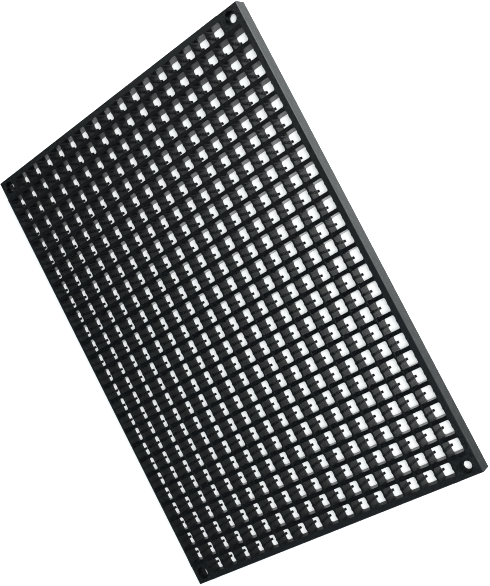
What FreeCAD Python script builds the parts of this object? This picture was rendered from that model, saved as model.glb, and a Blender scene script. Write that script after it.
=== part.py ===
import FreeCAD, Part
import os

# Open grid door mat, built as an egg-crate of half-lapped ribs and bars in a frame.
# Millimetres. X runs across the mat, Y along it, Z up.
# Origin: middle of the footprint, on the ground under the feet.

os.makedirs("parts", exist_ok=True)

V = FreeCAD.Vector

# Overall
WIDTH = 430.0           # X, short side
LENGTH = 600.0          # Y, long side
FOOT_H = 2.0            # feet lift the grid so that water drains
TOP_Z = 22.0            # walking surface
BODY_H = TOP_Z - FOOT_H
MID_Z = FOOT_H + BODY_H / 2.0

# Grid
COLUMNS = 18
ROWS = 27
CELL_X = 21.0
CELL_Y = 16.7
RIB_T = 2.4             # thin ribs between the columns
BAR_T = 5.15            # thicker bars between the rows
CELL_FILLET = 1.6       # rounded cell corners, carried by the bars and end rails
FILLET_LIP = 0.15       # blunt end of a fillet where it meets a rib

# Frame
LEFT_T = 3.2            # narrow long edge
RIGHT_T = 8.0           # wide long edge
END_T = 7.6             # both short edges

# Joints
TENON_Z0 = 8.0
TENON_H = 8.0
TENON_L = 4.0
LEFT_TENON_L = 1.6
BAR_TENON_T = 3.0
CORNER_TENON_Z0 = 16.0
CORNER_TENON_H = 4.0
CORNER_TENON_T = 3.6
LEFT_CORNER_TENON_T = 1.6

# Stiffening pilasters in the middle of each long cell wall, each standing on a foot pad
PILASTER_W = 3.2
PILASTER_TOP = 0.4
PILASTER_KNEE = 1.2
PILASTER_BOTTOM = 1.5
KNEE_Z = 18.0
PAD_OUT = 2.5
PAD_H = 1.6
SLOT_Z = [15.1, 11.7, 8.3]
SLOT_H = 1.7
SLOT_D = 1.0

# Corner blocks
PLATE_T = 9.6
WALL_T = 3.2
HOLE_D = 10.0
COUNTERBORE_D = 16.5
COUNTERBORE_DEPTH = 6.4
HOLE_FROM_LEFT = 12.2
HOLE_FROM_RIGHT = 15.8
HOLE_FROM_END = 12.5

X0 = -WIDTH / 2.0
X1 = WIDTH / 2.0
Y0 = -LENGTH / 2.0
Y1 = LENGTH / 2.0
IN_X0 = X0 + LEFT_T
IN_X1 = X1 - RIGHT_T
IN_Y0 = Y0 + END_T
IN_Y1 = Y1 - END_T
PITCH_X = CELL_X + RIB_T
PITCH_Y = CELL_Y + BAR_T


def box(x0, x1, y0, y1, z0, z1):
    return Part.makeBox(x1 - x0, y1 - y0, z1 - z0, V(x0, y0, z0))


def rib_x(i):
    """Left face of rib i, counted from 1."""
    return IN_X0 + i * PITCH_X - RIB_T


def bar_y(j):
    """Front face of bar j, counted from 1."""
    return IN_Y0 + j * PITCH_Y - BAR_T


def cell_y(j):
    """Middle of row j, counted from 1."""
    return IN_Y0 + (j - 1) * PITCH_Y + CELL_Y / 2.0


def column_x(i):
    """Left and right limits of column i, counted from 1."""
    left = IN_X0 + (i - 1) * PITCH_X
    return left, left + CELL_X


def face_edges(y_face, out, columns, rounded):
    """Edges of one long side of a bar, left to right.

    out is +1 where the cells lie on the rear side of the face and -1 on the front side.
    Fillets stand at both ends of each cell that is listed as rounded.
    """
    edges = []
    r = CELL_FILLET
    lip = FILLET_LIP
    previous = None
    for i in columns:
        left, right = column_x(i)
        if previous is not None:
            edges.append(Part.makeLine(previous, V(left, y_face, 0)))
        start = V(left, y_face, 0)
        end = V(right, y_face, 0)
        if i in rounded:
            a = V(left, y_face + out * r, 0)
            b = V(left + lip, y_face + out * r, 0)
            m = V(left + 0.36 * r, y_face + out * 0.36 * r, 0)
            c = V(left + r, y_face, 0)
            d = V(right - r, y_face, 0)
            n = V(right - 0.36 * r, y_face + out * 0.36 * r, 0)
            e = V(right - lip, y_face + out * r, 0)
            f = V(right, y_face + out * r, 0)
            edges.append(Part.makeLine(start, a))
            edges.append(Part.makeLine(a, b))
            edges.append(Part.Arc(b, m, c).toShape())
            edges.append(Part.makeLine(c, d))
            edges.append(Part.Arc(d, n, e).toShape())
            edges.append(Part.makeLine(e, f))
            edges.append(Part.makeLine(f, end))
        else:
            edges.append(Part.makeLine(start, end))
        previous = end
    return edges


def prism(edges, z0, height):
    wire = Part.Wire(Part.__sortEdges__(edges))
    face = Part.Face(wire)
    solid = face.extrude(V(0, 0, height))
    solid.translate(V(0, 0, z0))
    return solid


def cross_bar(j, shift):
    """Bar j drawn at its own place. Its upper half is notched for the ribs."""
    columns = list(range(1, COLUMNS + 1))
    inner = list(range(2, COLUMNS))
    front = inner if j == 1 else columns
    rear = inner if j == ROWS - 1 else columns
    y0 = bar_y(j)
    y1 = y0 + BAR_T
    edges = face_edges(y0, -1, columns, front)
    edges += face_edges(y1, 1, columns, rear)
    edges.append(Part.makeLine(V(IN_X0, y0, 0), V(IN_X0, y1, 0)))
    edges.append(Part.makeLine(V(IN_X1, y0, 0), V(IN_X1, y1, 0)))
    bar = prism(edges, FOOT_H, BODY_H)
    notches = []
    for i in range(1, COLUMNS):
        x = rib_x(i)
        notches.append(box(x, x + RIB_T, y0 - 3, y1 + 3, MID_Z, TOP_Z + 1))
    bar = bar.cut(notches)
    mid = (y0 + y1) / 2.0
    ta = mid - BAR_TENON_T / 2.0
    tb = mid + BAR_TENON_T / 2.0
    tz = TENON_Z0 + TENON_H
    left = box(IN_X0 - LEFT_TENON_L, IN_X0 + 1, ta, tb, TENON_Z0, tz)
    right = box(IN_X1 - 1, IN_X1 + TENON_L, ta, tb, TENON_Z0, tz)
    bar = bar.fuse([left, right]).removeSplitter()
    if shift:
        bar.translate(V(0, shift, 0))
    return bar


def half_pilaster(x_face, side, y_mid, x_back):
    """One pilaster on a wall whose face is at x_face, standing out towards side.

    The foot pad under it runs back to x_back.
    """
    ya = y_mid - PILASTER_W / 2.0
    points = [V(x_back, ya, TOP_Z)]
    points.append(V(x_face + side * PILASTER_TOP, ya, TOP_Z))
    points.append(V(x_face + side * PILASTER_KNEE, ya, KNEE_Z))
    points.append(V(x_face + side * PILASTER_BOTTOM, ya, PAD_H))
    points.append(V(x_face + side * PAD_OUT, ya, PAD_H))
    points.append(V(x_face + side * PAD_OUT, ya, 0))
    points.append(V(x_back, ya, 0))
    points.append(V(x_back, ya, TOP_Z))
    face = Part.Face(Part.makePolygon(points))
    return face.extrude(V(0, PILASTER_W, 0))


def slots(x_face, side, y_mid):
    """Three slots straight across a pilaster."""
    cuts = []
    for z in SLOT_Z:
        lean = (PILASTER_BOTTOM - PILASTER_KNEE) * (KNEE_Z - z) / (KNEE_Z - PAD_H)
        surface = x_face + side * (PILASTER_KNEE + lean)
        xa = min(surface - side * SLOT_D, surface + side)
        xb = max(surface - side * SLOT_D, surface + side)
        ya = y_mid - PILASTER_W
        yb = y_mid + PILASTER_W
        cuts.append(box(xa, xb, ya, yb, z - SLOT_H / 2.0, z + SLOT_H / 2.0))
    return cuts


def long_rib(i, left_rows, right_rows):
    """Rib i with pilasters in the listed rows. Its lower half is notched for the bars."""
    x = rib_x(i)
    mid = x + RIB_T / 2.0
    rib = box(x, x + RIB_T, IN_Y0 - TENON_L, IN_Y1 + TENON_L, FOOT_H, TOP_Z)
    adds = []
    cuts = []
    for j in left_rows:
        adds.append(half_pilaster(x, -1, cell_y(j), mid))
        cuts += slots(x, -1, cell_y(j))
    for j in right_rows:
        adds.append(half_pilaster(x + RIB_T, 1, cell_y(j), mid))
        cuts += slots(x + RIB_T, 1, cell_y(j))
    rib = rib.fuse(adds).removeSplitter()
    for j in range(1, ROWS):
        y = bar_y(j)
        cuts.append(box(x - 1, x + RIB_T + 1, y, y + BAR_T, FOOT_H - 1, MID_Z))
    for ya, yb in ((IN_Y0 - TENON_L - 1, IN_Y0), (IN_Y1, IN_Y1 + TENON_L + 1)):
        cuts.append(box(x - 1, x + RIB_T + 1, ya, yb, FOOT_H - 1, TENON_Z0))
        cuts.append(box(x - 1, x + RIB_T + 1, ya, yb, TENON_Z0 + TENON_H, TOP_Z + 1))
    return rib.cut(cuts).removeSplitter()


def side_rail(x_out, x_in, tenon_l, corner_t):
    """One long edge, between the corner blocks, with mortises for the bars."""
    side = 1 if x_in > x_out else -1
    ya = bar_y(1)
    yb = bar_y(ROWS - 1) + BAR_T
    xa = min(x_out, x_in)
    xb = max(x_out, x_in)
    rail = box(xa, xb, ya, yb, FOOT_H, TOP_Z)
    adds = []
    cuts = []
    for j in range(2, ROWS):
        adds.append(half_pilaster(x_in, side, cell_y(j), x_in - side * 2.0))
        cuts += slots(x_in, side, cell_y(j))
    mid = (xa + xb) / 2.0
    ca = mid - corner_t / 2.0
    cb = mid + corner_t / 2.0
    cz = CORNER_TENON_Z0 + CORNER_TENON_H
    adds.append(box(ca, cb, ya - TENON_L, ya + 1, CORNER_TENON_Z0, cz))
    adds.append(box(ca, cb, yb - 1, yb + TENON_L, CORNER_TENON_Z0, cz))
    rail = rail.fuse(adds).removeSplitter()
    for j in range(1, ROWS):
        m = bar_y(j) + BAR_T / 2.0
        ma = m - BAR_TENON_T / 2.0
        mb = m + BAR_TENON_T / 2.0
        da = min(x_in - side * tenon_l, x_in + side)
        db = max(x_in - side * tenon_l, x_in + side)
        cuts.append(box(da, db, ma, mb, TENON_Z0, TENON_Z0 + TENON_H))
    return rail.cut(cuts).removeSplitter()


def end_rail(y_out, y_in):
    """One short edge, between the corner blocks, with mortises for the ribs."""
    side = 1 if y_in > y_out else -1
    xa = rib_x(1)
    xb = rib_x(COLUMNS - 1) + RIB_T
    columns = list(range(2, COLUMNS))
    edges = face_edges(y_in, side, columns, columns)
    first = column_x(2)[0]
    last = column_x(COLUMNS - 1)[1]
    edges.append(Part.makeLine(V(xa, y_in, 0), V(first, y_in, 0)))
    edges.append(Part.makeLine(V(last, y_in, 0), V(xb, y_in, 0)))
    edges.append(Part.makeLine(V(xa, y_in, 0), V(xa, y_out, 0)))
    edges.append(Part.makeLine(V(xb, y_in, 0), V(xb, y_out, 0)))
    edges.append(Part.makeLine(V(xa, y_out, 0), V(xb, y_out, 0)))
    rail = prism(edges, FOOT_H, BODY_H)
    mid = (y_out + y_in) / 2.0
    ca = mid - CORNER_TENON_T / 2.0
    cb = mid + CORNER_TENON_T / 2.0
    cz = CORNER_TENON_Z0 + CORNER_TENON_H
    left = box(xa - TENON_L, xa + 1, ca, cb, CORNER_TENON_Z0, cz)
    right = box(xb - 1, xb + TENON_L, ca, cb, CORNER_TENON_Z0, cz)
    rail = rail.fuse([left, right]).removeSplitter()
    cuts = []
    for i in range(1, COLUMNS):
        x = rib_x(i)
        da = min(y_in - side * TENON_L, y_in + side)
        db = max(y_in - side * TENON_L, y_in + side)
        cuts.append(box(x, x + RIB_T, da, db, TENON_Z0, TENON_Z0 + TENON_H))
    return rail.cut(cuts).removeSplitter()


def corner_block(sx, sy):
    """Solid-topped corner, hollow below, with a counterbored screw hole."""
    if sx < 0:
        x_out = X0
        x_in = rib_x(1)
        x_hole = X0 + HOLE_FROM_LEFT
        rail_mid = X0 + LEFT_T / 2.0
        rail_t = LEFT_CORNER_TENON_T
    else:
        x_out = X1
        x_in = rib_x(COLUMNS - 1) + RIB_T
        x_hole = X1 - HOLE_FROM_RIGHT
        rail_mid = X1 - RIGHT_T / 2.0
        rail_t = CORNER_TENON_T
    y_out = Y0 if sy < 0 else Y1
    y_in = bar_y(1) if sy < 0 else bar_y(ROWS - 1) + BAR_T
    y_hole = sy * (LENGTH / 2.0 - HOLE_FROM_END)
    end_mid = sy * (LENGTH / 2.0 - END_T / 2.0)
    xa = min(x_out, x_in)
    xb = max(x_out, x_in)
    ya = min(y_out, y_in)
    yb = max(y_out, y_in)
    block = box(xa, xb, ya, yb, FOOT_H, TOP_Z)
    plate_z = TOP_Z - PLATE_T
    ha = xa + WALL_T if sx < 0 else xa - 1
    hb = xb + 1 if sx < 0 else xb - WALL_T
    hc = ya + WALL_T if sy < 0 else ya - 1
    hd = yb + 1 if sy < 0 else yb - WALL_T
    cuts = [box(ha, hb, hc, hd, FOOT_H - 1, plate_z)]
    cuts.append(Part.makeCylinder(HOLE_D / 2.0, PLATE_T + 2, V(x_hole, y_hole, plate_z - 1)))
    bore_z = TOP_Z - COUNTERBORE_DEPTH
    cuts.append(Part.makeCylinder(COUNTERBORE_D / 2.0, 10, V(x_hole, y_hole, bore_z)))
    cz = CORNER_TENON_Z0 + CORNER_TENON_H
    pa = min(x_in, x_in + sx * TENON_L)
    pb = max(x_in, x_in + sx * TENON_L)
    half = CORNER_TENON_T / 2.0
    cuts.append(box(pa, pb, end_mid - half, end_mid + half, CORNER_TENON_Z0, cz))
    pc = min(y_in, y_in + sy * TENON_L)
    pd = max(y_in, y_in + sy * TENON_L)
    cuts.append(box(rail_mid - rail_t / 2.0, rail_mid + rail_t / 2.0, pc, pd, CORNER_TENON_Z0, cz))
    return block.cut(cuts).removeSplitter()


def save(name, shape):
    if len(shape.Solids) != 1 or not shape.isValid():
        raise ValueError(name + " is not one valid solid")
    solid = shape.Solids[0]
    solid.exportStep("parts/" + name + ".step")


all_rows = list(range(1, ROWS + 1))
inner_rows = list(range(2, ROWS))

# Frame
save("side_rail_left", side_rail(X0, IN_X0, LEFT_TENON_L, LEFT_CORNER_TENON_T))
save("side_rail_right", side_rail(X1, IN_X1, TENON_L, CORNER_TENON_T))
save("end_rail_front", end_rail(Y0, IN_Y0))
save("end_rail_rear", end_rail(Y1, IN_Y1))
save("corner_block_front_left", corner_block(-1, -1))
save("corner_block_front_right", corner_block(1, -1))
save("corner_block_rear_left", corner_block(-1, 1))
save("corner_block_rear_right", corner_block(1, 1))

# Ribs along the mat. The outer two leave out the wedges that would meet a corner block.
inner_rib = long_rib(2, all_rows, all_rows)
for i in range(1, COLUMNS):
    if i == 1:
        rib = long_rib(1, inner_rows, all_rows)
    elif i == COLUMNS - 1:
        rib = long_rib(COLUMNS - 1, all_rows, inner_rows)
    else:
        rib = inner_rib.copy()
        rib.translate(V((i - 2) * PITCH_X, 0, 0))
    save("long_rib_%02d" % i, rib)

# Bars across the mat. The outer two have no fillets against a corner block.
for j in range(1, ROWS):
    if j == 1 or j == ROWS - 1:
        bar = cross_bar(j, 0)
    else:
        bar = cross_bar(2, (j - 2) * PITCH_Y)
    save("cross_bar_%02d" % j, bar)
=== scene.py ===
import math

import bpy
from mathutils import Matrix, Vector


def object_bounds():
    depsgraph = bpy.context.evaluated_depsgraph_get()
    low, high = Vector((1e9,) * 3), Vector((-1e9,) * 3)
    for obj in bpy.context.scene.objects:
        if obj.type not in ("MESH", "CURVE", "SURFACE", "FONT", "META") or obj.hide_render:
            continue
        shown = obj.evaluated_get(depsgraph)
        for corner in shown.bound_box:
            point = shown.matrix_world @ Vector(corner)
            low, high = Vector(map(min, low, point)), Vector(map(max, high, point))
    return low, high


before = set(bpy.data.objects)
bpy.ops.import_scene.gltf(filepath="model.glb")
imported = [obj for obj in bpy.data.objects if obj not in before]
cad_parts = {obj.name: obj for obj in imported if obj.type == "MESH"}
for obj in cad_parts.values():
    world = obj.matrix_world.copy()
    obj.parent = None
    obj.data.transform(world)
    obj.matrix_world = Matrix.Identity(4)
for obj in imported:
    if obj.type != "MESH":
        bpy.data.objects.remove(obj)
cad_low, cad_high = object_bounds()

scene = bpy.context.scene
scene.view_settings.view_transform = "Standard"
scene.view_settings.look = "None"
scene.cycles.filter_width = 1.0

# Lengths in metres
TOUCH = 0.00001            # two points this close are one
RIM_ROUND = 0.001          # outer top edge
EDGE_ROUND = 0.0003        # every other edge
SHARP_ANGLE = 50           # degrees; edges sharper than this are rounded
HIGHLIGHT_START = 0.0011       # the rim's painted highlight begins this far from the edge
HIGHLIGHT_FULL = 0.0004        # and is complete this far from it
FLOOR_HALF = 6.0
FLOOR_GAP = 0.0002

# Linear colours
BLACK = (0, 0, 0)
WHITE = (1, 1, 1)
DUST = (0.03, 0.03, 0.03)
# colour of the painted highlight on the right-hand top edge
RIM_HIGHLIGHT = (0.10, 0.105, 0.10, 1)
FRAME_BLACK = (0.0024, 0.0030, 0.0034)
GRID_BLACK = (0.0012, 0.0015, 0.0018)
SKY = (0.215, 0.265, 0.305)
HAZE = (0.6, 0.6, 0.6)
GLOW = (0.92, 0.86, 0.74)
GLOW_TOWARDS = (-0.35, 0.55, 1.0)

# Extra roughness along the mat, from the front (0) to the rear (1)
FRAME_DULL = [(0.03, 0.52), (0.75, 0.0)]
GRID_DULL = [(0.0, 0.3), (0.35, 0.0), (0.5, 0.0), (1.0, 0.3)]


# ---------------------------------------------------------------- node helpers
def node(tree, kind, x=0, y=0, **values):
    n = tree.nodes.new(kind)
    n.location = (x, y)
    for key, value in values.items():
        setattr(n, key, value)
    return n


def ramp(tree, source, points, x=0, y=0):
    """Colour ramp fed by source. points are (position, colour) pairs."""
    r = node(tree, "ShaderNodeValToRGB", x, y)
    el = r.color_ramp.elements
    while len(el) < len(points):
        el.new(0.5)
    for e, (p, c) in zip(el, points):
        e.position = p
        e.color = (c[0], c[1], c[2], 1)
    tree.links.new(source, r.inputs[0])
    return r


def noise(tree, vector, scale, detail, rough, x=0, y=0):
    n = node(tree, "ShaderNodeTexNoise", x, y)
    n.inputs["Scale"].default_value = scale
    n.inputs["Detail"].default_value = detail
    n.inputs["Roughness"].default_value = rough
    tree.links.new(vector, n.inputs["Vector"])
    return n


def remap(tree, source, span, result, x=0, y=0):
    """Maps source from span to result, each a (low, high) pair, and clamps it."""
    n = node(tree, "ShaderNodeMapRange", x, y)
    n.inputs["From Min"].default_value = span[0]
    n.inputs["From Max"].default_value = span[1]
    n.inputs["To Min"].default_value = result[0]
    n.inputs["To Max"].default_value = result[1]
    tree.links.new(source, n.inputs["Value"])
    return n.outputs[0]


def combine(tree, first, second, operation, x=0, y=0):
    n = node(tree, "ShaderNodeMath", x, y, operation=operation)
    tree.links.new(first, n.inputs[0])
    tree.links.new(second, n.inputs[1])
    return n.outputs[0]


def mix(tree, blend, x=0, y=0):
    return node(tree, "ShaderNodeMix", x, y, data_type="RGBA", blend_type=blend)


def bump(tree, height, strength, distance, below, x=0, y=0):
    """Bump layer on top of the normal given by below, or on the bare surface."""
    n = node(tree, "ShaderNodeBump", x, y)
    n.inputs["Strength"].default_value = strength
    n.inputs["Distance"].default_value = distance
    tree.links.new(height, n.inputs["Height"])
    if below is not None:
        tree.links.new(below, n.inputs["Normal"])
    return n.outputs[0]


# ---------------------------------------------------------------- materials
def rubber(name, tint, level, rough, seed, dull):
    """Black moulded rubber: mottled colour, uneven gloss, mould grain, worn edges.

    level is the specular level, rough the (low, high) roughness, seed shifts the noise,
    and dull lists the extra roughness along the mat.
    """
    mat = bpy.data.materials.new(name)
    mat.use_nodes = True
    t = mat.node_tree
    t.nodes.clear()
    out = node(t, "ShaderNodeOutputMaterial", 900, 0)
    bsdf = node(t, "ShaderNodeBsdfPrincipled", 600, 0)
    t.links.new(bsdf.outputs[0], out.inputs[0])
    bsdf.inputs["IOR"].default_value = 1.5
    bsdf.inputs["Specular IOR Level"].default_value = level
    bsdf.inputs["Specular Tint"].default_value = (0.95, 1.0, 1.0, 1.0)
    coord = node(t, "ShaderNodeTexCoord", -1200, 0)
    shift = node(t, "ShaderNodeMapping", -1000, 0)
    shift.inputs["Location"].default_value = (seed, seed * 0.7, seed * 1.3)
    t.links.new(coord.outputs["Object"], shift.inputs[0])
    v = shift.outputs[0]
    split = node(t, "ShaderNodeSeparateXYZ", -1000, -520)
    t.links.new(coord.outputs["Object"], split.inputs[0])

    # mottled colour with specks of dust
    blotch = noise(t, v, 420, 5, 0.7, -700, 300)
    dark = tuple(c * 0.3 for c in tint)
    pale = tuple(c * 4.0 for c in tint)
    tone = ramp(t, blotch.outputs["Fac"], [(0.44, dark), (0.58, pale)], -450, 300)
    speck = noise(t, v, 900, 2, 0.5, -700, 100)
    dust = ramp(t, speck.outputs["Fac"], [(0.68, BLACK), (0.8, DUST)], -450, 100)
    dusty = mix(t, "ADD", -150, 250)
    dusty.inputs["Factor"].default_value = 1.0
    t.links.new(tone.outputs["Color"], dusty.inputs["A"])
    t.links.new(dust.outputs["Color"], dusty.inputs["B"])

    # paler edges
    geo = node(t, "ShaderNodeNewGeometry", -700, -150)
    worn = ramp(t, geo.outputs["Pointiness"], [(0.52, BLACK), (0.62, WHITE)], -450, -150)
    edge = mix(t, "MIX", 150, 200)
    edge.inputs["B"].default_value = (tint[0] * 2.4, tint[1] * 2.4, tint[2] * 2.4, 1)
    t.links.new(worn.outputs["Color"], edge.inputs["Factor"])
    t.links.new(dusty.outputs["Result"], edge.inputs["A"])

    # painted highlight on the top edge of the right-hand side, stronger towards the rear
    side_span = (cad_high.x - HIGHLIGHT_START, cad_high.x - HIGHLIGHT_FULL)
    near_side = remap(t, split.outputs["X"], side_span, (0, 1), -450, -1300)
    top_span = (cad_high.z - HIGHLIGHT_START, cad_high.z - HIGHLIGHT_FULL)
    near_top = remap(t, split.outputs["Z"], top_span, (0, 1), -450, -1550)
    rearward = remap(t, split.outputs["Y"], (cad_low.y, cad_high.y), (0.1, 1), -450, -1800)
    rim_mask = combine(t, near_side, near_top, "MULTIPLY", -250, -1400)
    highlight_mask = combine(t, rim_mask, rearward, "MULTIPLY", -50, -1500)
    highlight_paint = mix(t, "MIX", 350, 200)
    highlight_paint.inputs["B"].default_value = RIM_HIGHLIGHT
    t.links.new(highlight_mask, highlight_paint.inputs["Factor"])
    t.links.new(edge.outputs["Result"], highlight_paint.inputs["A"])
    t.links.new(highlight_paint.outputs["Result"], bsdf.inputs["Base Color"])

    # uneven gloss, duller where dull says
    smear = noise(t, v, 120, 4, 0.6, -700, -400)
    uneven = remap(t, smear.outputs["Fac"], (0.3, 0.7), rough, -300, -400)
    along = remap(t, split.outputs["Y"], (cad_low.y, cad_high.y), (0, 1), -700, -600)
    dulled = ramp(t, along, [(place, (r, r, r)) for place, r in dull], -300, -600)
    total = combine(t, uneven, dulled.outputs["Color"], "ADD", 0, -450)
    t.links.new(total, bsdf.inputs["Roughness"])

    # grain, three layers
    grain = noise(t, v, 1500, 3, 0.6, -700, -700)
    wave = noise(t, v, 110, 2, 0.5, -700, -900)
    fine = noise(t, v, 520, 3, 0.6, -700, -1100)
    skin = bump(t, grain.outputs["Fac"], 0.12, 0.0003, None, -200, -700)
    skin = bump(t, wave.outputs["Fac"], 0.25, 0.0012, skin, 50, -800)
    skin = bump(t, fine.outputs["Fac"], 0.22, 0.0005, skin, 250, -900)
    t.links.new(skin, bsdf.inputs["Normal"])
    return mat


FRAME_MAT = rubber("frame_rubber", FRAME_BLACK, 0.17, (0.03, 0.12), 0.0, FRAME_DULL)
RIB_MAT = rubber("rib_rubber", GRID_BLACK, 0.20, (0.05, 0.12), 3.0, GRID_DULL)
BAR_MAT = rubber("bar_rubber", GRID_BLACK, 0.14, (0.07, 0.14), 7.0, GRID_DULL)


# ---------------------------------------------------------------- pieces
def on_rim(p):
    """True on the outer top edge of the mat, which is rounded more than the rest."""
    side = abs(p.x - cad_high.x) < TOUCH or abs(p.x - cad_low.x) < TOUCH
    end = abs(p.y - cad_high.y) < TOUCH or abs(p.y - cad_low.y) < TOUCH
    return abs(p.z - cad_high.z) < TOUCH and (side or end)


for name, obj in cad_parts.items():
    if name.startswith("long_rib"):
        mat = RIB_MAT
    elif name.startswith("cross_bar"):
        mat = BAR_MAT
    else:
        mat = FRAME_MAT
    obj.data.materials.clear()
    obj.data.materials.append(mat)
    weld = obj.modifiers.new("weld", "WELD")
    weld.merge_threshold = TOUCH
    if mat is FRAME_MAT:
        rim = obj.vertex_groups.new(name="rim")
        rim.add([v.index for v in obj.data.vertices if on_rim(v.co)], 1.0, "REPLACE")
        rim_bevel = obj.modifiers.new("rim", "BEVEL")
        rim_bevel.limit_method = "VGROUP"
        rim_bevel.vertex_group = "rim"
        rim_bevel.width = RIM_ROUND
        rim_bevel.segments = 3
    bevel = obj.modifiers.new("round", "BEVEL")
    bevel.width = EDGE_ROUND
    bevel.segments = 2
    bevel.limit_method = "ANGLE"
    bevel.angle_limit = math.radians(SHARP_ANGLE)
    weighted = obj.modifiers.new("normals", "WEIGHTED_NORMAL")
    weighted.keep_sharp = False

# ---------------------------------------------------------------- floor
floor_mesh = bpy.data.meshes.new("floor")
S = FLOOR_HALF
floor_mesh.from_pydata([(-S, -S, 0), (S, -S, 0), (S, S, 0), (-S, S, 0)], [], [(0, 1, 2, 3)])
floor = bpy.data.objects.new("floor", floor_mesh)
floor.location = (0, 0, cad_low.z - FLOOR_GAP)
scene.collection.objects.link(floor)
floor_mat = bpy.data.materials.new("floor_white")
floor_mat.use_nodes = True
paint = floor_mat.node_tree.nodes["Principled BSDF"]
paint.inputs["Base Color"].default_value = (0.83, 0.85, 0.85, 1)
paint.inputs["Roughness"].default_value = 0.9
paint.inputs["Specular IOR Level"].default_value = 0.1
paint.inputs["Emission Color"].default_value = (0.97, 1, 1, 1)
paint.inputs["Emission Strength"].default_value = 0.42
floor_mesh.materials.append(floor_mat)

# ---------------------------------------------------------------- sky: pale at the horizon, glow behind
world = bpy.data.worlds.new("studio")
scene.world = world
world.use_nodes = True
wt = world.node_tree
wt.nodes.clear()
world_out = node(wt, "ShaderNodeOutputWorld", 600, 0)
backdrop = node(wt, "ShaderNodeBackground", 400, 0)
wt.links.new(backdrop.outputs[0], world_out.inputs[0])
ray = node(wt, "ShaderNodeTexCoord", -800, 0)
ray_split = node(wt, "ShaderNodeSeparateXYZ", -600, 0)
wt.links.new(ray.outputs["Generated"], ray_split.inputs[0])
sky_points = [(0.0, WHITE), (0.12, HAZE), (0.4, SKY), (1.0, SKY)]
sky = ramp(wt, ray_split.outputs["Z"], sky_points, -300, 100)
glow_dot = node(wt, "ShaderNodeVectorMath", -600, -200, operation="DOT_PRODUCT")
glow_dot.inputs[1].default_value = Vector(GLOW_TOWARDS).normalized()
wt.links.new(ray.outputs["Generated"], glow_dot.inputs[0])
glow = ramp(wt, glow_dot.outputs["Value"], [(0.90, BLACK), (1.0, GLOW)], -300, -200)
glow.color_ramp.interpolation = "EASE"
both = mix(wt, "ADD", 100, 0)
both.inputs["Factor"].default_value = 1.0
wt.links.new(sky.outputs["Color"], both.inputs["A"])
wt.links.new(glow.outputs["Color"], both.inputs["B"])
wt.links.new(both.outputs["Result"], backdrop.inputs["Color"])
backdrop.inputs["Strength"].default_value = 1.0


# ---------------------------------------------------------------- lights
def softbox(name, place, aim, size, power, mirrored):
    """Area light. mirrored says whether it shows in reflections."""
    light = bpy.data.lights.new(name, "AREA")
    light.shape = "RECTANGLE"
    light.size = size[0]
    light.size_y = size[1]
    light.energy = power
    obj = bpy.data.objects.new(name, light)
    obj.location = place
    obj.visible_glossy = mirrored
    obj.rotation_mode = "QUATERNION"
    obj.rotation_quaternion = (Vector(aim) - Vector(place)).to_track_quat("-Z", "Y")
    scene.collection.objects.link(obj)


softbox("key", (0.95, -0.15, 1.45), (0.0, 0.0, 0.0), (0.5, 0.5), 22.0, True)
softbox("side", (1.9, 0.35, 0.74), (0.2, 0.05, 0.0), (1.5, 0.3), 52.0, False)

# ---------------------------------------------------------------- camera
CAMERA_PLACE = (0.66071, -0.09818, 1.07090)
CAMERA_TURN = (-11.5491, 28.4406, -31.2838)    # degrees
cam_data = bpy.data.cameras.new("camera")
cam_data.sensor_fit = "AUTO"
cam_data.sensor_width = 36.0
cam_data.lens = 62.11
cam_data.shift_x = -0.0093
cam_data.shift_y = 0.0195
cam_data.clip_start = 0.01
cam_data.clip_end = 50
cam = bpy.data.objects.new("camera", cam_data)
cam.location = CAMERA_PLACE
cam.rotation_mode = "XYZ"
cam.rotation_euler = [math.radians(angle) for angle in CAMERA_TURN]
scene.collection.objects.link(cam)
scene.camera = cam
